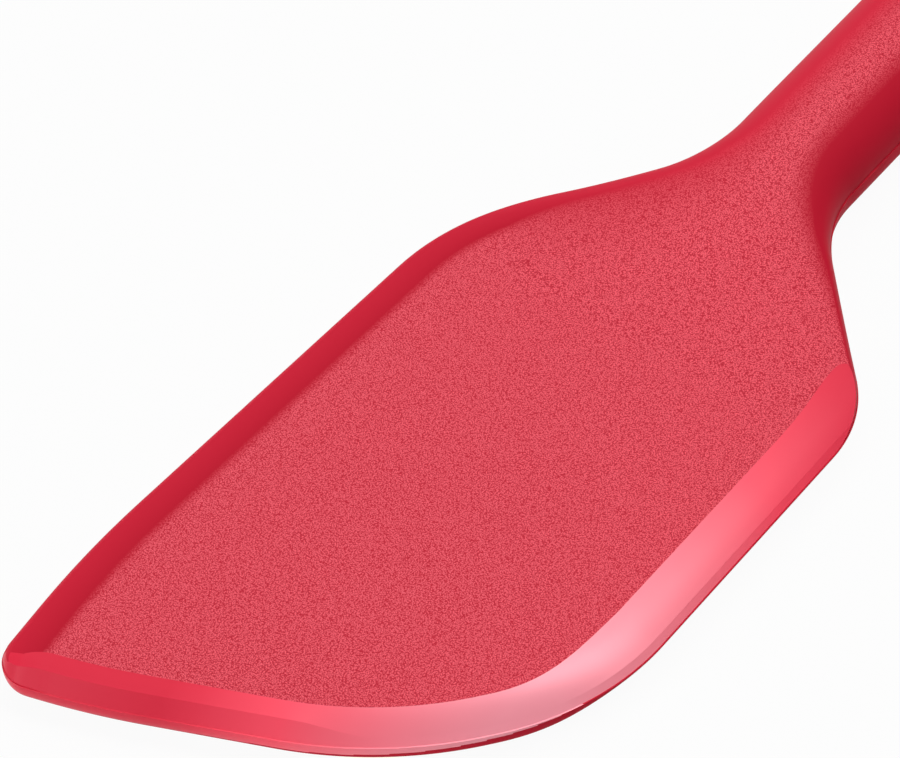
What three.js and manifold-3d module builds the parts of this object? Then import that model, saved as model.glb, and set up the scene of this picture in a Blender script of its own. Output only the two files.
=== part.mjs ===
// Spatula: two bonded silicone mouldings over a spring-steel blade core and a nylon handle core.
// Millimetres. x runs across the blade, y from the tip to the handle's end, z up.
// While it is built, z = 0 is the blade's parting plane and y = 0 lies just ahead of the tip.
import * as THREE from 'three';
import { mergeVertices } from 'three/addons/utils/BufferGeometryUtils.js';
import ManifoldModule from 'manifold-3d';

const { degToRad, smootherstep, clamp, lerp } = THREE.MathUtils;
const wasm = await ManifoldModule();
wasm.setup();

// Blade outline
const BLADE_WIDTH = 64;
const TIP_SLANT = degToRad(23.83);
const TIP_SETBACK = 0.73;
const TIP_LEFT_DRAW_IN = 3;
const TIP_LEFT_RAISE = 1.8;
const TIP_LEFT_RADIUS = 4.3;
const TIP_BEND_FROM_LEFT = 12.8;
const TIP_BEND_RADIUS = 104;
const TIP_CORNER_FROM_SIDE = 16.4;
const TIP_CORNER_RADIUS = 51;
const SIDE_CORNER_FROM_TIP = 13.5;
const SIDE_CORNER_RADIUS = 36.5;
const LEFT_BEND_Y = 24.8;
const LEFT_BEND_RADIUS = 140;
const SHOULDER_LEFT_Y = 101;
const SHOULDER_LEFT_RADIUS = 35.8;
const SHOULDER_RIGHT_Y = 100.8;
const SHOULDER_RIGHT_RADIUS = 20;

// Neck and handle outline
const NECK_Y = 126.8;
const NECK_RADIUS = 20.2;
const HANDLE_NECK_WIDTH = 18.8;
const HANDLE_END_WIDTH = 21;
const HANDLE_END_Y = 300;

// The handle lies above the blade's plane and tilts up
const HANDLE_RISE = 2.36;
const HANDLE_TILT = degToRad(1.6);

// The neck blends from blade to handle between these distances ahead of and behind its corner
const PARTING_BLEND = { ahead: 25.3, behind: 8 };
const UPPER_BLEND = { ahead: 40, behind: 18 };
const LOWER_BLEND = { ahead: 14, behind: 8 };

// Each half of the section, measured from the parting line
const UPPER = { side: 1, field: 2.4, edge: 1.3, round: 1.2, handle: 7.2, power: 2, flat: 7.2 };
const LOWER = { side: -1, field: 2.2, edge: 0.75, round: 0.8, handle: 6.5, power: 2.6, flat: 6.2 };

// Rolls thin the upper half to its left edge and the lower half, past the tip, to its right edge
const UPPER_ROLL = { from: 0, to: 6.2 };
const LOWER_ROLL = { from: 9, to: 21 };
const LOWER_ROLL_START_Y = 34;
const LOWER_ROLL_WHOLE_Y = 52;
const ROLL_POWER = 1.6;

// Polished lip, a bevel over an edge face: blunt along the tip, thin and bulging up the right edge;
// it thins and widens between these shares of its turn from the one to the other
const TIP_LIP = { width: 3.9, crease: 1.65, height: 1.85 };
const SIDE_LIP = { width: 5.9, crease: 0.8, height: 0.5 };
const LIP_THIN_BY = 0.25;
const LIP_WIDENS_FROM = 0.42;
const LIP_BULGE = 0.12;
const LIP_FOOT = 0.2;

// Hang hole in the handle's end
const HANG_HOLE_DIAMETER = 8;
const HANG_HOLE_FROM_END = 13;

// Spring-steel blade core with its tang
const PLATE_THICKNESS = 0.8;
const PLATE_INSET = 10;
const PLATE_CORNER_RADIUS = 6;
const TANG_WIDTH = 9;
const TANG_ROOT_RADIUS = 12;
const LOCK_HOLE_DIAMETER = 6;
const LOCK_HOLE_FROM_SIDE = 8;
const LOCK_HOLE_FROM_TIP = 14;
const LOCK_HOLE_PITCH = 14;
const LOCK_HOLE_ROWS = 4;

// Nylon handle core, lapped over the tang and riveted to it
const HANDLE_SKIN = 2.4;
const CORE_NOSE_AHEAD = 2;
const LAP_LENGTH = 34;
const LAP_HEIGHT = 4.6;
const CORE_TO_HANG_HOLE = 4;
const RIVET_DIAMETER = 3;
const RIVET_HEAD_DIAMETER = 5.6;
const RIVET_HEAD_HEIGHT = 1;
const RIVET_FROM_LAP_END = 8;

// Clearances
const SEAM_GAP = 0.3;
const FIT_GAP = 0.3;

// Fineness of the facets
const ROUND_RINGS = [0, 0.1, 0.35, 1];
const ROLL_RINGS = [0.35, 1];
const INNER_COLUMNS = [0.06, 0.28, 0.5, 0.72, 0.94];
const LINE_STEPS = 4;
const BEVEL_STEPS = 3;
const ARC_STEPS = 8;
const ROUND_STEPS = 20;

// Silicone red, blued steel and nylon
const FINISHES = {
  stippled: { color: 0xc4223c, roughness: 0.55, metalness: 0 },
  smooth: { color: 0xc4223c, roughness: 0.3, metalness: 0 },
  steel: { color: 0x9a9da1, roughness: 0.35, metalness: 1 },
  nylon: { color: 0x2a2b2e, roughness: 0.6, metalness: 0 },
};

// Places worked out from the sizes above
const HALF_BLADE = BLADE_WIDTH / 2;
const END_RADIUS = HANDLE_END_WIDTH / 2;
const TIP_LEFT_X = TIP_LEFT_DRAW_IN - HALF_BLADE;
const TIP_BEND_X = TIP_LEFT_X + TIP_BEND_FROM_LEFT;
const TIP_CORNER_X = HALF_BLADE - TIP_CORNER_FROM_SIDE;
const RING_WIDTH = 0.85 * TIP_LEFT_RADIUS;
const HANG_HOLE_Y = HANDLE_END_Y - HANG_HOLE_FROM_END;
const CORE_NOSE_Y = NECK_Y - CORE_NOSE_AHEAD;
const LAP_END_Y = CORE_NOSE_Y + LAP_LENGTH;
const LAP_BASE_Z = PLATE_THICKNESS / 2;
const LAP_TOP_Z = LAP_BASE_Z + LAP_HEIGHT;
const RIVETS = {
  core_rivet_front: CORE_NOSE_Y + RIVET_FROM_LAP_END,
  core_rivet_rear: LAP_END_Y - RIVET_FROM_LAP_END,
};

const tipLineY = (x) => TIP_SETBACK + (x + HALF_BLADE) * Math.tan(TIP_SLANT);
const handleShare = ({ ahead, behind }, y) => smootherstep(y, NECK_Y - ahead, NECK_Y + behind);
const handleAxisZ = (y) => HANDLE_RISE + Math.tan(HANDLE_TILT) * (y - NECK_Y);
const partingZ = (y) => handleShare(PARTING_BLEND, y) * handleAxisZ(y);

// A corner of an outline: its place and its fillet radius
const corner = (x, y, radius) => ({ point: new THREE.Vector2(x, y), radius });

// Points on the fillet of one corner, limited by the straight stretches beside it
function filletPoints(before, { point, radius }, after, steps) {
  const back = before.point.clone().sub(point);
  const ahead = after.point.clone().sub(point);
  const halfAngle = back.angleTo(ahead) / 2;
  const longest = 0.48 * Math.min(back.length(), ahead.length());
  const reach = Math.min(radius / Math.tan(halfAngle), longest);
  const start = back.setLength(reach).add(point);
  const end = ahead.setLength(reach).add(point);
  const toCentre = start.clone().add(end).multiplyScalar(0.5).sub(point);
  const centre = toCentre.setLength(reach / Math.cos(halfAngle)).add(point);
  const from = start.sub(centre);
  const turn = Math.sign(from.cross(end.clone().sub(centre))) * (Math.PI - 2 * halfAngle);
  const places = Array.from({ length: steps + 1 }, (_, i) => i / steps);
  return places.map((t) => from.clone().rotateAround(new THREE.Vector2(), turn * t).add(centre));
}

// Closed outline through rounded corners
function roundedOutline(corners, steps) {
  const count = corners.length;
  return corners.flatMap((here, i) =>
    filletPoints(corners[(i + count - 1) % count], here, corners[(i + 1) % count], steps));
}

// The spatula's corners on each side, from the handle's end forward to the bend in the tip
const TIP_BEND = corner(TIP_BEND_X, tipLineY(TIP_BEND_X), TIP_BEND_RADIUS);
const LEFT_CORNERS = [
  corner(-END_RADIUS, HANDLE_END_Y - END_RADIUS, 0),
  corner(-HANDLE_NECK_WIDTH / 2, NECK_Y, NECK_RADIUS),
  corner(-HALF_BLADE, SHOULDER_LEFT_Y, SHOULDER_LEFT_RADIUS),
  corner(-HALF_BLADE, LEFT_BEND_Y, LEFT_BEND_RADIUS),
  corner(TIP_LEFT_X, tipLineY(TIP_LEFT_X) + TIP_LEFT_RAISE, TIP_LEFT_RADIUS),
  TIP_BEND,
];
const RIGHT_CORNERS = [
  corner(END_RADIUS, HANDLE_END_Y - END_RADIUS, 0),
  corner(HANDLE_NECK_WIDTH / 2, NECK_Y, NECK_RADIUS),
  corner(HALF_BLADE, SHOULDER_RIGHT_Y, SHOULDER_RIGHT_RADIUS),
  corner(HALF_BLADE, tipLineY(HALF_BLADE) + SIDE_CORNER_FROM_TIP, SIDE_CORNER_RADIUS),
  corner(TIP_CORNER_X, tipLineY(TIP_CORNER_X), TIP_CORNER_RADIUS),
  TIP_BEND,
];

// Straight stretch between two points, without its ends
function linePoints(from, to, steps) {
  const places = Array.from({ length: steps - 1 }, (_, i) => (i + 1) / steps);
  return places.map((t) => from.clone().lerp(to, t));
}

// One side of the outline: round end, handle, neck, shoulder, edge, tip, and half of the tip's bend;
// of the straight stretches only the one from the neck to the shoulder needs points of its own
function outlineSide(corners, otherCorners) {
  const side = Math.sign(corners[0].point.x);
  const points = [];
  for (let i = 0; i <= ARC_STEPS; i++) {
    const angle = (Math.PI / 2) * (i / ARC_STEPS);
    const y = HANDLE_END_Y - END_RADIUS + END_RADIUS * Math.cos(angle);
    points.push(new THREE.Vector2(side * END_RADIUS * Math.sin(angle), y));
  }
  for (let i = 1; i < corners.length; i++) {
    const last = i === corners.length - 1;
    const after = last ? otherCorners[i - 1] : corners[i + 1];
    const arc = filletPoints(corners[i - 1], corners[i], after, last ? 2 * ARC_STEPS : ARC_STEPS);
    const steps = i === 2 ? LINE_STEPS : 1;
    points.push(...linePoints(points.at(-1), arc[0], steps), ...arc.slice(0, ARC_STEPS + 1));
  }
  return points;
}

// Stations pair a point of the left side with one of the right; each point has its inward normal
const leftSide = outlineSide(LEFT_CORNERS, RIGHT_CORNERS);
const rightSide = outlineSide(RIGHT_CORNERS, LEFT_CORNERS);
rightSide[rightSide.length - 1] = leftSide.at(-1);

function inwardNormals(points, otherPoints, turn) {
  const ends = [otherPoints[1], otherPoints.at(-2)];
  return points.map((_, i) => {
    const before = points[i - 1] ?? ends[0];
    const after = points[i + 1] ?? ends[1];
    const along = after.clone().sub(before).normalize();
    return new THREE.Vector2(-along.y, along.x).multiplyScalar(turn);
  });
}
const leftNormals = inwardNormals(leftSide, rightSide, 1);
const rightNormals = inwardNormals(rightSide, leftSide, -1);

// Half-width at a place along the spatula, read off one side of the outline
function halfWidthAt(points, y) {
  if (y >= HANDLE_END_Y - END_RADIUS) return END_RADIUS;
  const next = points.findIndex((point) => point.y <= y);
  if (next < 0) return -TIP_LEFT_X;
  const [above, below] = [points[next - 1], points[next]];
  const t = (above.y - y) / (above.y - below.y);
  return Math.abs(lerp(above.x, below.x, t));
}

// Blade: flat, but for a soft roll along the left edge above and the right edge below
function rolledHeight(half, { x, y }) {
  const above = half.side > 0;
  const inward = above ? x + halfWidthAt(leftSide, y) : HALF_BLADE - x;
  const whole = above ? 1 : smootherstep(y, LOWER_ROLL_START_Y, LOWER_ROLL_WHOLE_Y);
  const { from, to } = above ? UPPER_ROLL : LOWER_ROLL;
  const roll = whole * clamp((to - inward) / (to - from), 0, 1) ** ROLL_POWER;
  return lerp(half.field, half.edge, roll);
}

// Blade with its edge rounded at a distance in from the outline
function plateHeight(half, point, distance) {
  const short = clamp(1 - distance / half.round, 0, 1);
  return rolledHeight(half, point) * Math.sqrt(1 - short ** 2);
}

// Rounded section of the handle, domed at its end
function archHeight(half, { x, y }) {
  const width = halfWidthAt(x < 0 ? leftSide : rightSide, y);
  const pastDome = Math.max(0, y - (HANDLE_END_Y - END_RADIUS));
  const ratio = Math.min(1, Math.hypot(x / width, pastDome / END_RADIUS));
  return Math.min(half.flat, half.handle * (1 - ratio ** half.power) ** (1 / half.power));
}

function surfacePoint(half, point, distance) {
  const share = handleShare(half.side > 0 ? UPPER_BLEND : LOWER_BLEND, point.y);
  const height = lerp(plateHeight(half, point, distance), archHeight(half, point), share);
  return new THREE.Vector3(point.x, point.y, partingZ(point.y) + half.side * (SEAM_GAP / 2 + height));
}

// Closed solid through rows of points, each row a closed loop
function loft(rows, capped) {
  const count = rows[0].length;
  const index = [];
  for (let row = 1; row < rows.length; row++) {
    for (let i = 0; i < count; i++) {
      const j = (i + 1) % count;
      const [a, b] = [(row - 1) * count, row * count];
      index.push(a + i, b + i, b + j, a + i, b + j, a + j);
    }
  }
  if (capped) {
    const end = (rows.length - 1) * count;
    for (let i = 2; i < count; i++) {
      index.push(0, i - 1, i, end, end + i, end + i - 1);
    }
  }
  const geometry = new THREE.BufferGeometry().setFromPoints(rows.flat());
  return solidFrom(geometry.setIndex(index));
}

function solidFrom(geometry) {
  geometry.deleteAttribute('normal');
  geometry.deleteAttribute('uv');
  const merged = mergeVertices(geometry);
  const all = Array.from(merged.index.array);
  const triangles = [];
  for (let i = 0; i < all.length; i += 3) {
    const [a, b, c] = all.slice(i, i + 3);
    if (a !== b && b !== c && c !== a) triangles.push(a, b, c);
  }
  return new wasm.Manifold(new wasm.Mesh({
    numProp: 3,
    vertProperties: new Float32Array(merged.attributes.position.array),
    triVerts: new Uint32Array(triangles),
  }));
}

function meshFrom(name, solid, finish) {
  const { vertProperties, triVerts } = solid.getMesh();
  const geometry = new THREE.BufferGeometry();
  geometry.setAttribute('position', new THREE.BufferAttribute(vertProperties, 3));
  geometry.setIndex(new THREE.BufferAttribute(triVerts, 1));
  geometry.computeVertexNormals();
  const mesh = new THREE.Mesh(geometry, new THREE.MeshStandardMaterial(FINISHES[finish]));
  mesh.name = name;
  return mesh;
}

// One moulding, solid, before its pocket is cut
function coverSolid(half) {
  const rings = [
    ...ROUND_RINGS.map((share) => share * half.round),
    ...ROLL_RINGS.map((share) => lerp(half.round, RING_WIDTH, share)),
  ];
  const ringPoints = (points, normals, k) => rings.map((distance) => {
    const point = points[k].clone().addScaledVector(normals[k], distance);
    return surfacePoint(half, point, distance);
  });
  const rows = leftSide.map((_, k) => {
    const left = ringPoints(leftSide, leftNormals, k);
    const right = ringPoints(rightSide, rightNormals, k);
    const inner = INNER_COLUMNS.map((share) => {
      const point = left.at(-1).clone().lerp(right.at(-1), share);
      return surfacePoint(half, point, RING_WIDTH);
    });
    const row = [...left, ...inner, ...right.reverse()];
    return half.side > 0 ? row : row.reverse();
  });
  return loft(rows, false);
}

// Corners of what the lip takes away, as inward and upward steps, from its outer top round to its foot
function lipSection(turned, lowered) {
  const thin = smootherstep(turned, 0, LIP_THIN_BY);
  const width = lerp(TIP_LIP.width, SIDE_LIP.width, smootherstep(turned, LIP_WIDENS_FROM, 1));
  const crease = lerp(TIP_LIP.crease, SIDE_LIP.crease, thin);
  const height = lerp(TIP_LIP.height, SIDE_LIP.height, thin);
  const drop = UPPER.field - height;
  const bulge = 4 * LIP_BULGE * thin * drop;
  const outside = -UPPER.round;
  const beyond = 2 * UPPER.round;
  const top = 2 * UPPER.handle;
  const bevel = Array.from({ length: BEVEL_STEPS + 1 }, (_, i) => {
    const t = 1 - i / BEVEL_STEPS;
    return [lerp(crease, width, t), height + drop * t + bulge * t * (1 - t)];
  });
  const corners = [
    [outside, top],
    [width + beyond, top],
    [width + beyond, UPPER.field + beyond * (drop - bulge) / (width - crease)],
    ...bevel,
    [outside, LIP_FOOT + outside * (height - LIP_FOOT) / crease],
  ];
  return corners.map(([inward, z]) => [inward, lowered * z]);
}

// The lip's section along the tip, where it follows the roll, round the two corners and up the edge;
// its stations fall between those of the outline, so that no two edges nearly meet
function lipCutter() {
  const [shoulder, side, tip, bend] = RIGHT_CORNERS.slice(2);
  const upright = Math.PI / 2;
  const slope = side.point.clone().sub(tip.point).angle();
  const alongTip = new THREE.Vector2(Math.cos(TIP_SLANT), Math.sin(TIP_SLANT));
  const tipLeft = new THREE.Vector2(TIP_LEFT_X, tipLineY(TIP_LEFT_X));
  const lead = [-BLADE_WIDTH, 0, 0.3 * UPPER_ROLL.to, 0.6 * UPPER_ROLL.to, 1.2 * UPPER_ROLL.to];
  const round = (before, here, after, from, to) =>
    filletPoints(before, here, after, 2 * ARC_STEPS)
      .filter((_, i) => i % 2)
      .map((point, i) => ({ point, turn: lerp(from, to, (i + 0.5) / ARC_STEPS) }));
  const route = [
    ...lead.map((way) => ({ point: tipLeft.clone().addScaledVector(alongTip, way), turn: TIP_SLANT })),
    ...round(bend, tip, side, TIP_SLANT, slope),
    ...round(tip, side, shoulder, slope, upright),
  ];
  route.push({ point: new THREE.Vector2(route.at(-1).point.x, NECK_Y), turn: upright });
  return loft(route.map(({ point, turn }) => {
    const turned = (turn - TIP_SLANT) / (upright - TIP_SLANT);
    const section = lipSection(turned, rolledHeight(UPPER, point) / UPPER.field);
    return section.map(([inward, z]) => new THREE.Vector3(
      point.x - inward * Math.sin(turn), point.y + inward * Math.cos(turn), SEAM_GAP / 2 + z));
  }), true);
}

// Steel plate; grown by a clearance it is the pocket that holds it, and its holes become pegs
function plateSolid(grow) {
  const inset = PLATE_INSET - grow;
  const side = HALF_BLADE - inset;
  const tang = TANG_WIDTH / 2 + grow;
  const tipY = (x) => tipLineY(x) + inset / Math.cos(TIP_SLANT);
  const tangEnd = LAP_END_Y - FIT_GAP + grow;
  const corners = [
    corner(-side, tipY(-side), PLATE_CORNER_RADIUS),
    corner(side, tipY(side), SIDE_CORNER_RADIUS - inset),
    corner(side, SHOULDER_RIGHT_Y - inset / 2, SHOULDER_RIGHT_RADIUS - inset),
    corner(tang, NECK_Y - inset / 2, TANG_ROOT_RADIUS),
    corner(tang, tangEnd, TANG_WIDTH / 4),
    corner(-tang, tangEnd, TANG_WIDTH / 4),
    corner(-tang, NECK_Y - inset / 2, TANG_ROOT_RADIUS),
    corner(-side, SHOULDER_LEFT_Y - inset / 2, SHOULDER_LEFT_RADIUS - inset),
  ];
  const shape = new THREE.Shape(roundedOutline(corners, ARC_STEPS));
  const punch = (x, y, radius) =>
    shape.holes.push(new THREE.Path().absarc(x, y, radius, 0, 2 * Math.PI, true));
  for (const column of [-1, 0, 1]) {
    const x = column * (HALF_BLADE - PLATE_INSET - LOCK_HOLE_FROM_SIDE);
    const firstY = tipLineY(x) + PLATE_INSET + LOCK_HOLE_FROM_TIP;
    for (let row = 0; row < LOCK_HOLE_ROWS; row++) {
      punch(x, firstY + row * LOCK_HOLE_PITCH, LOCK_HOLE_DIAMETER / 2 - grow);
    }
  }
  if (grow === 0) {
    for (const y of Object.values(RIVETS)) punch(0, y, RIVET_DIAMETER / 2 + FIT_GAP);
  }
  const depth = PLATE_THICKNESS + 2 * grow;
  const options = { depth, bevelEnabled: false, curveSegments: ROUND_STEPS / 2 };
  return solidFrom(new THREE.ExtrudeGeometry(shape, options).translate(0, 0, -depth / 2));
}

function boxSolid(y, z, depth, height) {
  const geometry = new THREE.BoxGeometry(BLADE_WIDTH, depth, height);
  return solidFrom(geometry.translate(0, y, z));
}

// Upright cylinder between two heights
function postSolid(radius, y, bottom, top) {
  const geometry = new THREE.CylinderGeometry(radius, radius, top - bottom, ROUND_STEPS);
  return solidFrom(geometry.rotateX(Math.PI / 2).translate(0, y, (top + bottom) / 2));
}

// Oval bar along the handle's axis, stepped at its nose so that it laps the tang
function handleCoreSolid(grow) {
  const start = CORE_NOSE_Y - grow;
  const end = HANG_HOLE_Y - HANG_HOLE_DIAMETER / 2 - CORE_TO_HANG_HOLE + grow;
  const halfWidth = HANDLE_NECK_WIDTH / 2 - HANDLE_SKIN + grow;
  const halfHeight = (UPPER.flat + LOWER.flat) / 2 - HANDLE_SKIN + grow;
  const middle = (UPPER.flat - LOWER.flat) / 2;
  const section = new THREE.Shape().absellipse(0, 0, halfWidth, halfHeight, 0, 2 * Math.PI);
  const bar = new THREE.ExtrudeGeometry(section, {
    depth: end - start,
    bevelEnabled: false,
    curveSegments: ROUND_STEPS,
  });
  bar.rotateX(-Math.PI / 2).rotateX(HANDLE_TILT);
  bar.translate(0, start, handleAxisZ(start) + middle);
  const lapDepth = 2 * (LAP_LENGTH - grow);
  const under = boxSolid(CORE_NOSE_Y, LAP_BASE_Z - grow - BLADE_WIDTH / 2, lapDepth, BLADE_WIDTH);
  const over = boxSolid(CORE_NOSE_Y, LAP_TOP_Z + grow + BLADE_WIDTH / 2, lapDepth, BLADE_WIDTH);
  return solidFrom(bar).subtract(under).subtract(over);
}

// Rivet with a flat round head on each side of the lap
function rivetSolid(y, grow) {
  const bottom = -PLATE_THICKNESS / 2;
  const reach = RIVET_HEAD_HEIGHT + grow;
  const head = RIVET_HEAD_DIAMETER / 2 + grow;
  const shank = postSolid(RIVET_DIAMETER / 2 + grow, y, bottom - reach / 2, LAP_TOP_Z + reach / 2);
  const lower = postSolid(head, y, bottom - reach, bottom);
  const upper = postSolid(head, y, LAP_TOP_Z, LAP_TOP_Z + reach);
  return shank.add(lower).add(upper);
}

// Pieces
const rivetPlaces = Object.values(RIVETS);
const pocket = rivetPlaces
  .map((y) => rivetSolid(y, FIT_GAP))
  .reduce((all, rivet) => all.add(rivet), plateSolid(FIT_GAP).add(handleCoreSolid(FIT_GAP)));
const hangHole = postSolid(HANG_HOLE_DIAMETER / 2, HANG_HOLE_Y, -BLADE_WIDTH, BLADE_WIDTH);
const upperCover = coverSolid(UPPER).subtract(lipCutter()).subtract(pocket).subtract(hangHole);
const lowerCover = coverSolid(LOWER).subtract(pocket).subtract(hangHole);
const handleCore = rivetPlaces
  .map((y) => postSolid(RIVET_DIAMETER / 2 + FIT_GAP, y, -BLADE_WIDTH, BLADE_WIDTH))
  .reduce((core, hole) => core.subtract(hole), handleCoreSolid(0));

const spatula = new THREE.Group();
spatula.add(meshFrom('upper_cover', upperCover, 'stippled'));
spatula.add(meshFrom('lower_cover', lowerCover, 'smooth'));
spatula.add(meshFrom('blade_core', plateSolid(0), 'steel'));
spatula.add(meshFrom('handle_core', handleCore, 'nylon'));
for (const [name, y] of Object.entries(RIVETS)) {
  spatula.add(meshFrom(name, rivetSolid(y, 0), 'steel'));
}

// The origin is under the middle of the whole part, at its lowest point
const box = new THREE.Box3().setFromObject(spatula);
spatula.position.set(0, -(box.min.y + box.max.y) / 2, -box.min.z);

export default spatula;
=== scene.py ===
import math
from collections import namedtuple

import bmesh
import bpy
import numpy as np
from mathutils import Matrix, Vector


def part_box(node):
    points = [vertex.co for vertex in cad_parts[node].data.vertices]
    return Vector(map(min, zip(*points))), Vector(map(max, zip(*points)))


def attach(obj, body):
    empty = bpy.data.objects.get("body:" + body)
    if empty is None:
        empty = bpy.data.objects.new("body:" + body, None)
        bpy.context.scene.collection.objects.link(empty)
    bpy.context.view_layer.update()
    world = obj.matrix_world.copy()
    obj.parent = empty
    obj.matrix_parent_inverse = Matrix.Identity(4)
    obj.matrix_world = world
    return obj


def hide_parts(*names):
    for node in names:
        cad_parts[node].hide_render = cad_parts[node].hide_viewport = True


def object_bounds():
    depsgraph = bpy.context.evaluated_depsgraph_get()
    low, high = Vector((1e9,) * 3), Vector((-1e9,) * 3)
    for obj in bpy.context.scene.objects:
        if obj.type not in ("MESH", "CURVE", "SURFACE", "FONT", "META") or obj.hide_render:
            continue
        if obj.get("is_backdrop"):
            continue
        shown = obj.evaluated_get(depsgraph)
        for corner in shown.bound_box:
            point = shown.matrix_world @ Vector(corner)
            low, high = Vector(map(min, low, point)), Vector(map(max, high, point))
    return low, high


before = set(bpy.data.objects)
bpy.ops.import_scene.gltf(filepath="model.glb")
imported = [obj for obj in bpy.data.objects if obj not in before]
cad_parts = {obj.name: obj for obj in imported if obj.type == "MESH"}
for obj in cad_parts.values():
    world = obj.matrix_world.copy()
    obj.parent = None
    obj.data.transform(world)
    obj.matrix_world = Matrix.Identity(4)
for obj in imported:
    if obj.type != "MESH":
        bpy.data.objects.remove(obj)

cad_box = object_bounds()

# Lengths are in millimetres and angles in degrees until they reach Blender
MM = 0.001

# Blade outline, as in the solids
BLADE_WIDTH = 64
TIP_SLANT = 23.83
TIP_SETBACK = 0.73
TIP_LEFT_DRAW_IN = 3
TIP_LEFT_RAISE = 1.8
TIP_LEFT_RADIUS = 4.3
TIP_BEND_FROM_LEFT = 12.8
TIP_BEND_RADIUS = 104
TIP_CORNER_FROM_SIDE = 16.4
TIP_CORNER_RADIUS = 51
SIDE_CORNER_FROM_TIP = 13.5
SIDE_CORNER_RADIUS = 36.5
LEFT_BEND_Y = 24.8
LEFT_BEND_RADIUS = 140
SHOULDER_LEFT_Y = 101
SHOULDER_LEFT_RADIUS = 35.8
SHOULDER_RIGHT_Y = 100.8
SHOULDER_RIGHT_RADIUS = 20

# Neck and handle outline
NECK_Y = 126.8
NECK_RADIUS = 20.2
HANDLE_NECK_WIDTH = 18.8
HANDLE_END_WIDTH = 21
HANDLE_END_Y = 300

# Rise of the handle over the blade
HANDLE_RISE = 2.36
HANDLE_TILT = 1.6

# The neck blends from blade to handle between these distances ahead of and behind its corner
Blend = namedtuple("Blend", "ahead behind")
PARTING_BLEND = Blend(ahead=25.3, behind=8)
UPPER_BLEND = Blend(ahead=40, behind=18)
LOWER_BLEND = Blend(ahead=14, behind=8)

# Rolls thin the upper half to its left edge and the lower half, past the tip, to its right edge
Roll = namedtuple("Roll", "start end")
UPPER_ROLL = Roll(start=0, end=6.2)
LOWER_ROLL = Roll(start=9, end=21)
LOWER_ROLL_START_Y = 34
LOWER_ROLL_WHOLE_Y = 52
ROLL_POWER = 1.6

# Each moulding's half of the section, from the parting line out; the lower one stands a little proud
Half = namedtuple("Half", "side roll blend field edge round handle power proud")
UPPER = Half(
    1, UPPER_ROLL, UPPER_BLEND, field=2.55, edge=1.45, round=1.2, handle=7.35, power=2, proud=0)
LOWER = Half(
    -1, LOWER_ROLL, LOWER_BLEND, field=2.35, edge=0.9, round=0.8, handle=6.35, power=2.8, proud=0.15)
CORE_CLEARANCE = 0.3

# Polished lip, a bevel over an edge face: blunt along the tip, thin and bulging up the right edge;
# it thins and widens between these shares of its turn from the one to the other
Lip = namedtuple("Lip", "width crease height")
TIP_LIP = Lip(width=3.9, crease=1.65, height=2)
SIDE_LIP = Lip(width=5.9, crease=0.8, height=0.65)
LIP_THIN_BY = 0.25
LIP_WIDENS_FROM = 0.42
LIP_BULGE = 0.12

# The lip's foot lies this far in from the outline, and the lip begins at this share of its size
LIP_TRIM = 0.02
LIP_START = 0.05

# The polish, and the lip's painted glow with it, goes on over the lower edge along the tip and runs out
# between these places
EDGING_NARROWS_Y = 10
EDGING_ENDS_Y = 42

# The lip is painted paler round its right corner, a painted glow from this reach in to this place, with
# its colours at these shares of the way
LIP_GLOW_AT = (27.5, 33)
LIP_GLOW_REACH = (38, 75, 75)
LIP_GLOW_STOPS = (0, 0.35, 0.9)

# Stipple of fine dots with painted glints on its light dots; stipple and painted sheen run out where the
# surface leans left or right by these sines
STIPPLE_PITCH = 0.19
STIPPLE_RELIEF = 0.01
DOT_BORDER = (0.25, 0.7)
STIPPLE_SHEEN_WHOLE_LEAN = -0.01
BLADE_STIPPLE_SHEEN_LEAN = -0.09
HANDLE_STIPPLE_SHEEN_LEAN = -0.4
RIGHT_STIPPLE_SHEEN_LEANS = (0.2, 0.45)
# Between these sines of leaning left the colour goes from a lighter one, painted light, to the plain one
LEFT_PAINTED_LIGHT_LEANS = (-0.3, -0.08)

# Hang hole in the handle's end, with a rim that is rounded through this turn
HANG_HOLE_DIAMETER = 8
HANG_HOLE_FROM_END = 13
HANG_HOLE_RIM = 1.2
RIM_TURN = 72

# Fineness of the meshes
ARC_STEPS = 24
LINE_STEPS = 20
NOSE_STEPS = 20
EDGING_STEPS = 12
RING_STEPS = 12
BEVEL_STEPS = 8
INNER_COLUMNS = 32
HOLE_STEPS = 72
SHARP_ANGLE = 11
FILLET_SHARE = 0.48
WELD = 0.0001
CORE_WELD = 0.001

# Studio, in metres and in shares of plain light
FLOOR_SIZE = 8
FLOOR_GREYS = (0.58, 0.6)
FLOOR_GLOW = 0.95
WORLD_LEVEL = 0.06
HORIZON_WHITE_TO = 0.06
HORIZON_DARK_FROM = 0.16

# Camera that took the photograph
CAMERA_AZIMUTH = 36.626
CAMERA_ELEVATION = 45.405
CAMERA_DISTANCE = 414.82
CAMERA_TARGET = (-14.41, 75.515)
CAMERA_LENS = 129.9
SENSOR_WIDTH = 36

# Places worked out from the sizes above
HALF_BLADE = BLADE_WIDTH / 2
END_RADIUS = HANDLE_END_WIDTH / 2
DOME_Y = HANDLE_END_Y - END_RADIUS
TIP_LEFT_X = TIP_LEFT_DRAW_IN - HALF_BLADE
TIP_BEND_X = TIP_LEFT_X + TIP_BEND_FROM_LEFT
TIP_CORNER_X = HALF_BLADE - TIP_CORNER_FROM_SIDE
RING_WIDTH = 0.6 * TIP_LEFT_RADIUS
HANG_HOLE_Y = HANDLE_END_Y - HANG_HOLE_FROM_END
TIP_SLOPE = math.tan(math.radians(TIP_SLANT))
HANDLE_SLOPE = math.tan(math.radians(HANDLE_TILT))

# The frame's place for the sizes' own zero: the handle's end gives y, the steel plate gives z
PLATE_LOW, PLATE_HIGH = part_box("blade_core")
ORIGIN = Vector((0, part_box("upper_cover")[1].y - HANDLE_END_Y * MM, (PLATE_LOW.z + PLATE_HIGH.z) / 2))


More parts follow.
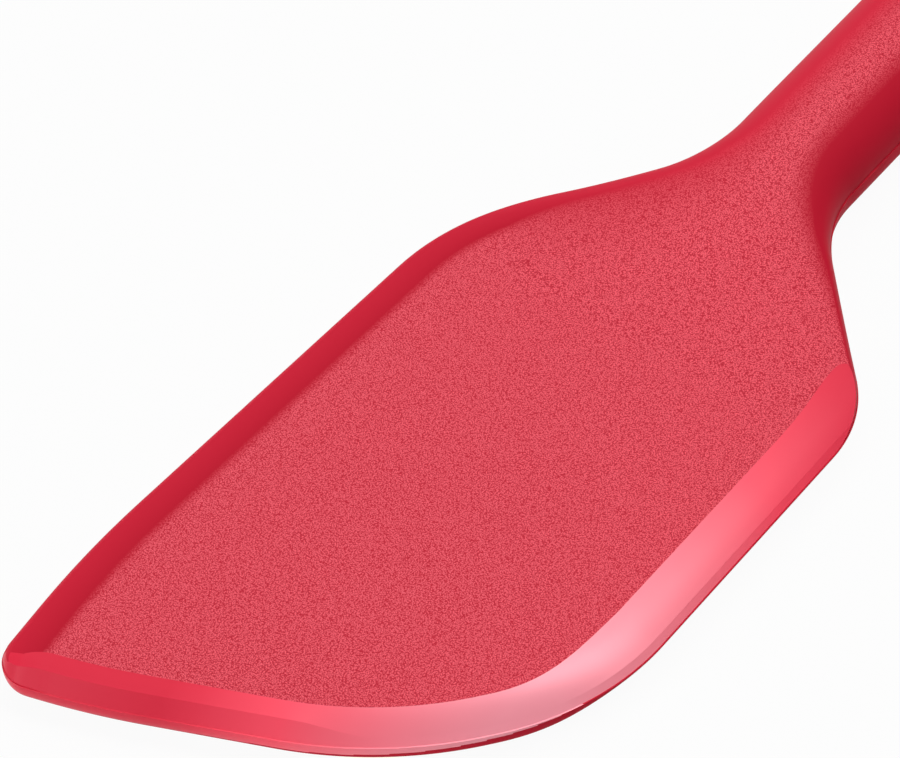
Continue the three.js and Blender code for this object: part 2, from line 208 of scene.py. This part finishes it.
def smootherstep(t):
    t = np.clip(t, 0, 1)
    return t ** 3 * (10 - 15 * t + 6 * t * t)


def tip_line_y(x):
    return TIP_SETBACK + (x + HALF_BLADE) * TIP_SLOPE


def handle_share(blend, y):
    """0 on the blade, 1 on the handle."""
    return smootherstep((y - NECK_Y + blend.ahead) / (blend.ahead + blend.behind))


def parting_z(y):
    return handle_share(PARTING_BLEND, y) * (HANDLE_RISE + HANDLE_SLOPE * (y - NECK_Y))


# Outline

TIP_BEND = (TIP_BEND_X, tip_line_y(TIP_BEND_X), TIP_BEND_RADIUS)
LEFT_CORNERS = [
    (-END_RADIUS, DOME_Y, 0),
    (-HANDLE_NECK_WIDTH / 2, NECK_Y, NECK_RADIUS),
    (-HALF_BLADE, SHOULDER_LEFT_Y, SHOULDER_LEFT_RADIUS),
    (-HALF_BLADE, LEFT_BEND_Y, LEFT_BEND_RADIUS),
    (TIP_LEFT_X, tip_line_y(TIP_LEFT_X) + TIP_LEFT_RAISE, TIP_LEFT_RADIUS),
    TIP_BEND,
]
RIGHT_CORNERS = [
    (END_RADIUS, DOME_Y, 0),
    (HANDLE_NECK_WIDTH / 2, NECK_Y, NECK_RADIUS),
    (HALF_BLADE, SHOULDER_RIGHT_Y, SHOULDER_RIGHT_RADIUS),
    (HALF_BLADE, tip_line_y(HALF_BLADE) + SIDE_CORNER_FROM_TIP, SIDE_CORNER_RADIUS),
    (TIP_CORNER_X, tip_line_y(TIP_CORNER_X), TIP_CORNER_RADIUS),
    TIP_BEND,
]


def fillet(before, corner, after, steps):
    """Points on the fillet of one corner, limited by the straight stretches beside it."""
    point = np.array(corner[:2])
    back = np.array(before[:2]) - point
    ahead = np.array(after[:2]) - point
    longest = FILLET_SHARE * min(np.linalg.norm(back), np.linalg.norm(ahead))
    back /= np.linalg.norm(back)
    ahead /= np.linalg.norm(ahead)
    half_angle = math.acos(back @ ahead) / 2
    reach = min(corner[2] / math.tan(half_angle), longest)
    centre = point + (back + ahead) * reach / (2 * math.cos(half_angle) ** 2)
    spoke = point + back * reach - centre
    turn = math.copysign(math.pi - 2 * half_angle, back[1] * ahead[0] - back[0] * ahead[1])
    angles = np.linspace(0, turn, steps + 1)[:, None]
    across = np.array([-spoke[1], spoke[0]])
    return centre + spoke * np.cos(angles) + across * np.sin(angles)


def outline_side(corners, other_corners):
    """Round end, handle, neck, shoulder, edge and tip of one side, to the middle of the tip's bend."""
    side = math.copysign(1, corners[0][0])
    angles = np.linspace(0, math.pi / 2, ARC_STEPS + 1)
    end = np.column_stack([side * END_RADIUS * np.sin(angles), DOME_Y + END_RADIUS * np.cos(angles)])
    stretches = [end]
    for i in range(1, len(corners)):
        last = i == len(corners) - 1
        after = other_corners[i - 1] if last else corners[i + 1]
        arc = fillet(corners[i - 1], corners[i], after, 2 * ARC_STEPS if last else ARC_STEPS)
        straight = np.linspace(stretches[-1][-1], arc[0], LINE_STEPS + 1)[1:-1]
        stretches += [straight, arc[: ARC_STEPS + 1]]
    return np.vstack(stretches)


def inward_normals(points, other_points, turn):
    padded = np.vstack([other_points[1], points, other_points[-2]])
    along = padded[2:] - padded[:-2]
    along /= np.linalg.norm(along, axis=1)[:, None]
    return turn * np.column_stack([-along[:, 1], along[:, 0]])


LEFT = outline_side(LEFT_CORNERS, RIGHT_CORNERS)
RIGHT = outline_side(RIGHT_CORNERS, LEFT_CORNERS)
LEFT_EDGE = LEFT[LEFT[:, 1].argmin()::-1]
LEFT_NORMALS = inward_normals(LEFT, RIGHT, 1)
RIGHT_NORMALS = inward_normals(RIGHT, LEFT, -1)


# Surface of a moulding

def left_width(y):
    """Half-width of the outline on its left side."""
    return np.interp(y, LEFT_EDGE[:, 1], -LEFT_EDGE[:, 0])


def half_width(x, y):
    """Half-width of the handle or neck on the side of x."""
    right = np.interp(y, RIGHT[::-1, 1], RIGHT[::-1, 0])
    return np.where(y > DOME_Y, END_RADIUS, np.where(x < 0, left_width(y), right))


def rolled_height(half, x, y):
    """Blade: flat, but for a soft roll along the left edge above and the right edge below."""
    above = half.side > 0
    inward = x + left_width(y) if above else HALF_BLADE - x
    grown = smootherstep((y - LOWER_ROLL_START_Y) / (LOWER_ROLL_WHOLE_Y - LOWER_ROLL_START_Y))
    whole = 1 if above else grown
    roll = np.clip((half.roll.end - inward) / (half.roll.end - half.roll.start), 0, 1) ** ROLL_POWER
    return half.field - (half.field - half.edge) * whole * roll


def lip_sizes():
    """Share of the lip's size at each point on the left: it runs out round the tip's left corner."""
    drawn_in = (LEFT - LEFT_CORNERS[-2][:2]) @ LEFT_NORMALS[-ARC_STEPS - 2] / TIP_LIP.width
    narrowed = np.sqrt(rolled_height(UPPER, LEFT[:, 0], LEFT[:, 1]) / UPPER.field)
    return np.clip(narrowed - drawn_in, 0, 1)


def plate_height(half, x, y, distance):
    """Blade with its edge rounded at a distance in from the outline."""
    short = np.clip(1 - distance / half.round, 0, 1)
    return rolled_height(half, x, y) * np.sqrt(1 - short ** 2)


def arch_height(half, x, y):
    """Handle: a rounded section, domed at its end."""
    across = x / (half_width(x, y) + half.proud)
    past_dome = np.maximum(0, y - DOME_Y) / (END_RADIUS + half.proud)
    ratio = np.clip(np.hypot(across, past_dome), 0, 1)
    return half.handle * (1 - ratio ** half.power) ** (1 / half.power)


def surface_z(half, x, y, distance):
    share = handle_share(half.blend, y)
    height = (1 - share) * plate_height(half, x, y, distance) + share * arch_height(half, x, y)
    return parting_z(y) + half.side * height


# Mesh building

def to_frame(points):
    return np.asarray(points) * MM + np.array(ORIGIN)


def loft(name, rows, capped, edging=None):
    """Closed solid through rows of points, each row a closed loop; the edging takes the next material."""
    rows = np.asarray(rows)
    count, width = rows.shape[:2]
    grid = np.arange(count * width).reshape(count, width)
    ahead = np.roll(grid, -1, axis=1)
    faces = np.stack([grid[:-1], ahead[:-1], ahead[1:], grid[1:]], axis=-1).reshape(-1, 4).tolist()
    if capped:
        faces += [grid[0].tolist(), grid[-1].tolist()]
    mesh = bpy.data.meshes.new(name)
    mesh.from_pydata(to_frame(rows.reshape(-1, 3)), [], faces)
    if edging is not None:
        mesh.polygons.foreach_set("material_index", edging.astype(int).ravel())
    merged = bmesh.new()
    merged.from_mesh(mesh)
    bmesh.ops.remove_doubles(merged, verts=merged.verts, dist=WELD * MM)
    bmesh.ops.recalc_face_normals(merged, faces=merged.faces)
    merged.to_mesh(mesh)
    merged.free()
    piece = bpy.data.objects.new(name, mesh)
    bpy.context.scene.collection.objects.link(piece)
    return piece


def bake_modifiers(piece):
    graph = bpy.context.evaluated_depsgraph_get()
    finished = bpy.data.meshes.new_from_object(piece.evaluated_get(graph))
    piece.modifiers.clear()
    piece.data = finished


def cut(piece, cutter):
    """Cuts one solid out of another; the cut faces take the cutter's material."""
    modifier = piece.modifiers.new("cut", "BOOLEAN")
    modifier.operation = "DIFFERENCE"
    modifier.solver = "EXACT"
    modifier.material_mode = "TRANSFER"
    modifier.object = cutter
    bake_modifiers(piece)


def shade(piece):
    """Smooth, but with crisp creases and a crisp line where the finish changes."""
    mesh = piece.data
    mesh.shade_smooth()
    mesh.set_sharp_from_angle(angle=math.radians(SHARP_ANGLE))
    marked = bmesh.new()
    marked.from_mesh(mesh)
    for edge in marked.edges:
        if len({face.material_index for face in edge.link_faces}) > 1:
            edge.smooth = False
    marked.to_mesh(mesh)
    marked.free()


def edge_rings(half):
    """Distances in from the edge: round the nose, then over the roll."""
    angles = np.linspace(0, math.pi / 2, NOSE_STEPS + 1)
    nose = half.round * (1 - np.cos(angles))
    further = np.linspace(half.round, RING_WIDTH, RING_STEPS + 1)
    return np.concatenate([nose, further[1:]])


def edging_faces(count):
    """Which of that many faces in each row are polished, counted from the parting line on either side."""
    narrowing = np.clip((EDGING_ENDS_Y - RIGHT[1:, 1]) / (EDGING_ENDS_Y - EDGING_NARROWS_Y), 0, 1)
    on_left = EDGING_STEPS * (lip_sizes()[1:] > 0)
    on_right = EDGING_STEPS * narrowing
    column = np.arange(count)
    return (column < on_left[:, None]) | (column[::-1] < on_right[:, None])


def cover_solid(name, half):
    """One moulding before its cuts."""
    rings = edge_rings(half)
    insets = (rings - half.proud)[None, :, None]
    left = LEFT[:, None] + LEFT_NORMALS[:, None] * insets
    right = RIGHT[:, None] + RIGHT_NORMALS[:, None] * insets
    shares = np.linspace(0, 1, INNER_COLUMNS + 2)[1:-1, None] ** ROLL_POWER
    inner = left[:, -1:] * (1 - shares) + right[:, -1:] * shares
    plan = np.concatenate([left, inner, right[:, ::-1]], axis=1)
    distances = np.concatenate([rings, np.full(INNER_COLUMNS, RING_WIDTH), rings[::-1]])
    x, y = plan[..., 0], plan[..., 1]
    rows = np.dstack([x, y, surface_z(half, x, y, distances)])
    return loft(name, rows, capped=False, edging=edging_faces(len(distances)))


def lip_section(turned, share):
    """What the lip takes away, as inward and upward steps, at a share of its turn and of its size."""
    thin = smootherstep(turned / LIP_THIN_BY)
    wide = smootherstep((turned - LIP_WIDENS_FROM) / (1 - LIP_WIDENS_FROM))
    width = share * (TIP_LIP.width + wide * (SIDE_LIP.width - TIP_LIP.width))
    crease = share * (TIP_LIP.crease + thin * (SIDE_LIP.crease - TIP_LIP.crease))
    drop = share * (UPPER.field - TIP_LIP.height - thin * (SIDE_LIP.height - TIP_LIP.height))
    bulge = 4 * LIP_BULGE * thin * drop
    t = np.linspace(0, 1, BEVEL_STEPS + 1)
    bevel = np.column_stack([
        crease + (width - crease) * t, UPPER.field - drop * (1 - t) + bulge * t * (1 - t)])
    beyond = 2 * UPPER.round
    inside = width + beyond
    bevel_end = UPPER.field + beyond * (drop - bulge) / (width - crease)
    top = 2 * UPPER.handle
    bottom = -UPPER.round
    foot = LIP_TRIM + (crease - LIP_TRIM) * bottom / (UPPER.field - drop)
    return np.vstack([
        (foot, bottom), bevel, (inside, bevel_end), (inside, top), (-beyond, top), (-beyond, bottom)])


def lip_route():
    """Points from the tip's left end to the right edge's top, each with its turn and the lip's size."""
    shoulder, side, tip, bend = RIGHT_CORNERS[2:]
    left = LEFT_CORNERS[-2]
    turns = [math.atan2(b[1] - a[1], b[0] - a[0]) for a, b in ((left, bend), (bend, tip), (tip, side))]
    arcs = [
        fillet(left, bend, tip, 2 * ARC_STEPS),
        fillet(bend, tip, side, 2 * ARC_STEPS),
        fillet(tip, side, shoulder, 2 * ARC_STEPS),
    ]
    for point, size in zip(LEFT, lip_sizes()):
        if size > LIP_START and point[0] < arcs[0][0][0]:
            yield point, turns[0], size
    for arc, first, last in zip(arcs, turns, turns[1:] + [math.pi / 2]):
        for point, turn in zip(arc, np.linspace(first, last, len(arc))):
            yield point, turn, 1
    yield np.array([HALF_BLADE, NECK_Y]), math.pi / 2, 1


def lip_cutter():
    """The lip's section swept along its route, low where the roll is low."""
    slant = math.radians(TIP_SLANT)
    rows = []
    for point, turn, size in lip_route():
        section = lip_section((turn - slant) / (math.pi / 2 - slant), size)
        x, y = point[:, None] + np.outer((-math.sin(turn), math.cos(turn)), section[:, 0])
        rows.append(np.column_stack([x, y, section[:, 1] * rolled_height(UPPER, x, y) / UPPER.field]))
    return loft("lip_cutter", rows, capped=True)


def hang_hole_cutter():
    """Round bore whose rim is rounded where it meets each moulding's surface."""
    around = np.linspace(0, 2 * math.pi, HOLE_STEPS, endpoint=False)
    spokes = np.column_stack([np.cos(around), np.sin(around)])
    bore = HANG_HOLE_DIAMETER / 2
    rim = (bore + HANG_HOLE_RIM) * spokes + (0, HANG_HOLE_Y)
    rows = []
    for half in (LOWER, UPPER):
        surface = surface_z(half, rim[:, 0], rim[:, 1], RING_WIDTH)
        part = []
        for angle in np.radians(np.linspace(0, RIM_TURN, NOSE_STEPS + 1)):
            radius = bore + HANG_HOLE_RIM * (1 - math.cos(angle))
            depth = HANG_HOLE_RIM * (1 - math.sin(angle))
            part.append(np.column_stack([radius * spokes + (0, HANG_HOLE_Y), surface - half.side * depth]))
        for height in (depth, half.handle):
            part.append(np.column_stack([rim, surface + half.side * height]))
        rows += part if half.side > 0 else part[::-1]
    return loft("hang_hole_cutter", rows, capped=True)


def core_cutter(node):
    """A core piece with a little clearance round it."""
    cutter = bpy.data.objects.new(node + "_cutter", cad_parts[node].data.copy())
    bpy.context.scene.collection.objects.link(cutter)
    welded = bmesh.new()
    welded.from_mesh(cutter.data)
    bmesh.ops.remove_doubles(welded, verts=welded.verts, dist=CORE_WELD * MM)
    welded.to_mesh(cutter.data)
    welded.free()
    grow = cutter.modifiers.new("clearance", "DISPLACE")
    grow.strength = CORE_CLEARANCE * MM
    grow.mid_level = 0
    bake_modifiers(cutter)
    cutter.data.materials.clear()
    return cutter


# Materials

def node_material(name):
    material = bpy.data.materials.new(name)
    material.use_nodes = True
    return material, material.node_tree, material.node_tree.nodes["Principled BSDF"]


def noise(tree, scale, detail, stretch=(1, 1, 1)):
    """Noise in the object's own metres; returns its value socket."""
    place = tree.nodes.new("ShaderNodeTexCoord")
    squeeze = tree.nodes.new("ShaderNodeMapping")
    squeeze.inputs["Scale"].default_value = stretch
    texture = tree.nodes.new("ShaderNodeTexNoise")
    texture.inputs["Scale"].default_value = scale
    texture.inputs["Detail"].default_value = detail
    tree.links.new(place.outputs["Object"], squeeze.inputs["Vector"])
    tree.links.new(squeeze.outputs["Vector"], texture.inputs["Vector"])
    return texture.outputs["Fac"]


def dots(tree, pitch):
    """Distance from the nearest of many scattered dots, in pitches of that many millimetres."""
    place = tree.nodes.new("ShaderNodeTexCoord")
    texture = tree.nodes.new("ShaderNodeTexVoronoi")
    texture.inputs["Scale"].default_value = 1 / (pitch * MM)
    tree.links.new(place.outputs["Object"], texture.inputs["Vector"])
    return texture.outputs["Distance"]


def ramp(tree, value, low, high, start=0.3, end=0.7):
    """Colour or grey between two values."""
    node = tree.nodes.new("ShaderNodeValToRGB")
    first, last = node.color_ramp.elements
    first.position, last.position = start, end
    first.color, last.color = (*low, 1), (*high, 1)
    tree.links.new(value, node.inputs["Fac"])
    return node.outputs["Color"]


def spread(tree, value, low, high, start=0.3, end=0.7):
    """Number between two values."""
    node = tree.nodes.new("ShaderNodeMapRange")
    node.inputs["From Min"].default_value = start
    node.inputs["From Max"].default_value = end
    node.inputs["To Min"].default_value = low
    node.inputs["To Max"].default_value = high
    tree.links.new(value, node.inputs["Value"])
    return node.outputs["Result"]


def bump(tree, shader, value, height):
    """Relief of that height in millimetres."""
    node = tree.nodes.new("ShaderNodeBump")
    node.inputs["Strength"].default_value = 1
    node.inputs["Distance"].default_value = height * MM
    tree.links.new(value, node.inputs["Height"])
    tree.links.new(node.outputs["Normal"], shader.inputs["Normal"])
    return node


def coordinate(tree, kind, axis):
    """One axis of the place in the object, or of the direction that its surface faces."""
    place = tree.nodes.new("ShaderNodeTexCoord")
    axes = tree.nodes.new("ShaderNodeSeparateXYZ")
    tree.links.new(place.outputs[kind], axes.inputs["Vector"])
    return axes.outputs[axis]


def product(tree, first, second):
    node = tree.nodes.new("ShaderNodeMath")
    node.operation = "MULTIPLY"
    tree.links.new(first, node.inputs[0])
    tree.links.new(second, node.inputs[1])
    return node.outputs["Value"]


def stipple_sheen_from_left(tree, leaning):
    """Share of stipple and painted sheen: sharp by the blade's rolled edge, soft on the handle."""
    along = coordinate(tree, "Object", "Y")
    blade_end, neck = (to_frame((0, y, 0))[1] for y in (SHOULDER_LEFT_Y, NECK_Y))
    first_lean = spread(tree, along, BLADE_STIPPLE_SHEEN_LEAN, HANDLE_STIPPLE_SHEEN_LEAN, blade_end, neck)
    share = spread(tree, leaning, 0, 1, end=STIPPLE_SHEEN_WHOLE_LEAN)
    tree.links.new(first_lean, share.node.inputs["From Min"])
    return share


def stippled_silicone(name, edge, plain, dark, light):
    """Satin silicone, fine stipple with painted glints; stipple and sheen run out on the flanks and on the
    rolled edge.
    """
    material, tree, shader = node_material(name)
    away = dots(tree, STIPPLE_PITCH)
    leaning = coordinate(tree, "Normal", "X")
    # Past these leans to the right the darker plain colour takes over, painted shade on the right flank
    to_right = spread(tree, leaning, 1, 0, *RIGHT_STIPPLE_SHEEN_LEANS)
    # Share of the stipple with its painted sheen, kept off surfaces that lean far left or right
    stipple = product(tree, stipple_sheen_from_left(tree, leaning), to_right)
    mixed = tree.nodes.new("ShaderNodeMixRGB")
    tree.links.new(stipple, mixed.inputs["Fac"])
    # Lighter where the surface leans left: painted light
    inside = spread(tree, leaning, 0, 1, *LEFT_PAINTED_LIGHT_LEANS)
    tree.links.new(ramp(tree, inside, edge, plain, 0, 1), mixed.inputs["Color1"])
    # Light dots are painted glints
    tree.links.new(ramp(tree, away, light, dark, *DOT_BORDER), mixed.inputs["Color2"])
    tree.links.new(mixed.outputs["Color"], shader.inputs["Base Color"])
    shader.inputs["Roughness"].default_value = 0.46
    shader.inputs["Specular IOR Level"].default_value = 0.03
    relief = bump(tree, shader, spread(tree, away, 1, 0, *DOT_BORDER), STIPPLE_RELIEF)
    tree.links.new(stipple, relief.inputs["Strength"])
    return material


def smooth_silicone(name, dark, light):
    """Smooth silicone, faintly clouded."""
    material, tree, shader = node_material(name)
    cloud = noise(tree, scale=400, detail=2)
    tree.links.new(ramp(tree, cloud, dark, light), shader.inputs["Base Color"])
    tree.links.new(spread(tree, cloud, 0.45, 0.5), shader.inputs["Roughness"])
    shader.inputs["Specular IOR Level"].default_value = 0.015
    bump(tree, shader, cloud, 0.004)
    return material


def polished_silicone(name, outside_glow, thin, glow_core):
    """Polished lip, painted paler round its right corner as a glow of light through it, with a faint
    ripple.
    """
    material, tree, shader = node_material(name)
    place = tree.nodes.new("ShaderNodeTexCoord")
    reach = tree.nodes.new("ShaderNodeMapping")
    reach.vector_type = "TEXTURE"
    reach.inputs["Location"].default_value = to_frame((*LIP_GLOW_AT, 0))
    reach.inputs["Scale"].default_value = np.array(LIP_GLOW_REACH) * MM
    glow_fade = tree.nodes.new("ShaderNodeTexGradient")
    glow_fade.gradient_type = "SPHERICAL"
    colour = tree.nodes.new("ShaderNodeValToRGB")
    stops = colour.color_ramp.elements
    stops.new(LIP_GLOW_STOPS[1])
    # Colour away from the glow, then the painted glow's thin and palest colours
    for stop, position, tone in zip(stops, LIP_GLOW_STOPS, (outside_glow, thin, glow_core)):
        stop.position = position
        stop.color = (*tone, 1)
    tree.links.new(place.outputs["Object"], reach.inputs["Vector"])
    tree.links.new(reach.outputs["Vector"], glow_fade.inputs["Vector"])
    tree.links.new(glow_fade.outputs["Fac"], colour.inputs["Fac"])
    tree.links.new(colour.outputs["Color"], shader.inputs["Base Color"])
    ripple = noise(tree, scale=300, detail=2)
    tree.links.new(spread(tree, ripple, 0.36, 0.4), shader.inputs["Roughness"])
    gloss = spread(tree, glow_fade.outputs["Fac"], 0.2, 1.2, start=0.1, end=0.8)
    tree.links.new(gloss, shader.inputs["Specular IOR Level"])
    shader.inputs["Specular Tint"].default_value = (1, 0.5, 0.55, 1)
    bump(tree, shader, ripple, 0.004)
    return material


def brushed_steel(name, colour, along):
    """Rolled steel with fine streaks along one axis."""
    material, tree, shader = node_material(name)
    streaks = noise(tree, scale=900, detail=4, stretch=along)
    dark = [0.8 * channel for channel in colour]
    tree.links.new(ramp(tree, streaks, dark, colour), shader.inputs["Base Color"])
    tree.links.new(spread(tree, streaks, 0.25, 0.45), shader.inputs["Roughness"])
    shader.inputs["Metallic"].default_value = 1
    bump(tree, shader, streaks, 0.01)
    return material


def filled_nylon(name):
    """Dark nylon with short glass fibres near its surface."""
    material, tree, shader = node_material(name)
    fibres = noise(tree, scale=1500, detail=3, stretch=(1, 0.2, 1))
    colour = ramp(tree, fibres, (0.03, 0.03, 0.033), (0.07, 0.07, 0.075))
    tree.links.new(colour, shader.inputs["Base Color"])
    tree.links.new(spread(tree, fibres, 0.45, 0.65), shader.inputs["Roughness"])
    bump(tree, shader, fibres, 0.02)
    return material


def floor_material():
    """White floor that reads as the backdrop but keeps the object's shadow."""
    material, tree, shader = node_material("floor")
    cloud = noise(tree, scale=3, detail=2)
    dark, light = ((grey,) * 3 for grey in FLOOR_GREYS)
    tree.links.new(ramp(tree, cloud, dark, light), shader.inputs["Base Color"])
    shader.inputs["Roughness"].default_value = 0.9
    glow = tree.nodes.new("ShaderNodeEmission")
    mixed = tree.nodes.new("ShaderNodeMixShader")
    share = backdrop_rays(tree, FLOOR_GLOW)
    tree.links.new(share, mixed.inputs["Fac"])
    tree.links.new(shader.outputs["BSDF"], mixed.inputs[1])
    tree.links.new(glow.outputs["Emission"], mixed.inputs[2])
    tree.links.new(mixed.outputs["Shader"], tree.nodes["Material Output"].inputs["Surface"])
    return material


# Studio

def backdrop_rays(tree, share):
    """That share for camera, glossy and transmission rays, and 0 for the light's own."""
    path = tree.nodes.new("ShaderNodeLightPath")
    total = path.outputs["Is Camera Ray"]
    for ray in ("Is Glossy Ray", "Is Transmission Ray"):
        either = tree.nodes.new("ShaderNodeMath")
        either.operation = "MAXIMUM"
        tree.links.new(total, either.inputs[0])
        tree.links.new(path.outputs[ray], either.inputs[1])
        total = either.outputs["Value"]
    scaled = tree.nodes.new("ShaderNodeMath")
    scaled.operation = "MULTIPLY"
    scaled.inputs[1].default_value = share
    tree.links.new(total, scaled.inputs[0])
    return scaled.outputs["Value"]


def make_world():
    """Dim room that is white only near the horizon, behind the floor."""
    world = bpy.data.worlds.new("studio")
    bpy.context.scene.world = world
    world.use_nodes = True
    tree = world.node_tree
    place = tree.nodes.new("ShaderNodeTexCoord")
    axes = tree.nodes.new("ShaderNodeSeparateXYZ")
    height = tree.nodes.new("ShaderNodeMapRange")
    height.inputs["From Min"].default_value = HORIZON_WHITE_TO
    height.inputs["From Max"].default_value = HORIZON_DARK_FROM
    tree.links.new(place.outputs["Generated"], axes.inputs["Vector"])
    tree.links.new(axes.outputs["Z"], height.inputs["Value"])
    grey = ramp(tree, height.outputs["Result"], (1, 1, 1), (WORLD_LEVEL,) * 3, start=0, end=1)
    tree.links.new(grey, tree.nodes["Background"].inputs["Color"])


def direction(azimuth, elevation):
    a, e = math.radians(azimuth), math.radians(elevation)
    return Vector((math.sin(a) * math.cos(e), -math.cos(a) * math.cos(e), math.sin(e)))


def softbox(name, towards, distance, size, level):
    """Square softbox, in metres, that lights a facing surface at that share of plain light."""
    lamp = bpy.data.lights.new(name, "AREA")
    lamp.shape = "SQUARE"
    lamp.size = size
    lamp.energy = level * math.pi ** 2 * distance ** 2
    holder = bpy.data.objects.new(name, lamp)
    aim = Vector(towards).normalized()
    holder.location = aim_point() + aim * distance
    holder.rotation_euler = aim.to_track_quat("Z", "Y").to_euler()
    bpy.context.scene.collection.objects.link(holder)


def aim_point():
    return Vector(CAMERA_TARGET + (0,)) * MM + ORIGIN


def make_floor():
    mesh = bpy.data.meshes.new("floor")
    half = FLOOR_SIZE / 2
    corners = [(-half, -half, 0), (half, -half, 0), (half, half, 0), (-half, half, 0)]
    mesh.from_pydata(corners, [], [(0, 1, 2, 3)])
    mesh.materials.append(floor_material())
    floor = bpy.data.objects.new("floor", mesh)
    bpy.context.scene.collection.objects.link(floor)
    floor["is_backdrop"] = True


def make_camera():
    data = bpy.data.cameras.new("camera")
    data.sensor_width = SENSOR_WIDTH
    data.lens = CAMERA_LENS
    data.clip_start = 0.01
    camera = bpy.data.objects.new("camera", data)
    back = direction(CAMERA_AZIMUTH, CAMERA_ELEVATION)
    camera.location = aim_point() + back * CAMERA_DISTANCE * MM
    camera.rotation_euler = back.to_track_quat("Z", "Y").to_euler()
    bpy.context.scene.collection.objects.link(camera)
    bpy.context.scene.camera = camera


# Pieces

# edge is painted light on surfaces leaning left, plain the darker painted shade of the right flank, light
# the painted glint of the stipple's dots
stippled = stippled_silicone(
    "silicone_stippled", edge=(0.6, 0.02, 0.045), plain=(0.48, 0.01, 0.028),
    dark=(0.505, 0.0205, 0.04), light=(0.875, 0.126, 0.166))
# outside_glow is the lip's own colour; thin and glow_core are its painted glow
polished = polished_silicone(
    "silicone_polished", outside_glow=(0.72, 0.026, 0.057), thin=(1, 0.07, 0.12), glow_core=(1, 0.33, 0.4))
smooth = smooth_silicone("silicone_smooth", dark=(0.55, 0.012, 0.032), light=(0.59, 0.016, 0.038))

CORE_FINISHES = {
    "blade_core": brushed_steel("spring_steel", (0.6, 0.61, 0.62), along=(1, 0.05, 1)),
    "handle_core": filled_nylon("nylon"),
    "core_rivet_front": brushed_steel("rivet_steel", (0.66, 0.66, 0.67), along=(1, 1, 0.1)),
}
CORE_FINISHES["core_rivet_rear"] = CORE_FINISHES["core_rivet_front"]


def cover(node, half, finish, cutters):
    """One moulding with its cuts, its finishes and its place in the frame."""
    piece = cover_solid(node + "_skin", half)
    piece.data.materials.append(finish)
    piece.data.materials.append(polished)
    for cutter in cutters:
        cut(piece, cutter)
    shade(piece)
    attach(piece, "root")
    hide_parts(node)


lip = lip_cutter()
lip.data.materials.append(polished)
inner_cutters = [core_cutter(node) for node in CORE_FINISHES] + [hang_hole_cutter()]
cover("upper_cover", UPPER, stippled, [lip] + inner_cutters)
cover("lower_cover", LOWER, smooth, inner_cutters)
for cutter in [lip] + inner_cutters:
    bpy.data.objects.remove(cutter)

for node, finish in CORE_FINISHES.items():
    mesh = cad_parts[node].data
    mesh.materials.clear()
    mesh.materials.append(finish)

make_floor()
make_world()
softbox("lip_light", (0.3, 0.38, 0.88), distance=1.2, size=0.45, level=0.46)
softbox("top_light", (-0.3, 0.4, 0.87), distance=1.6, size=1.2, level=0.62)
softbox("front_light", (-0.25, -0.95, 0.2), distance=1.6, size=1, level=0.7)
make_camera()
bpy.context.scene.view_settings.view_transform = "Standard"

boxes = {"cad": cad_box, "visual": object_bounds()}
{name: [list(corner) for corner in box] for name, box in boxes.items()}
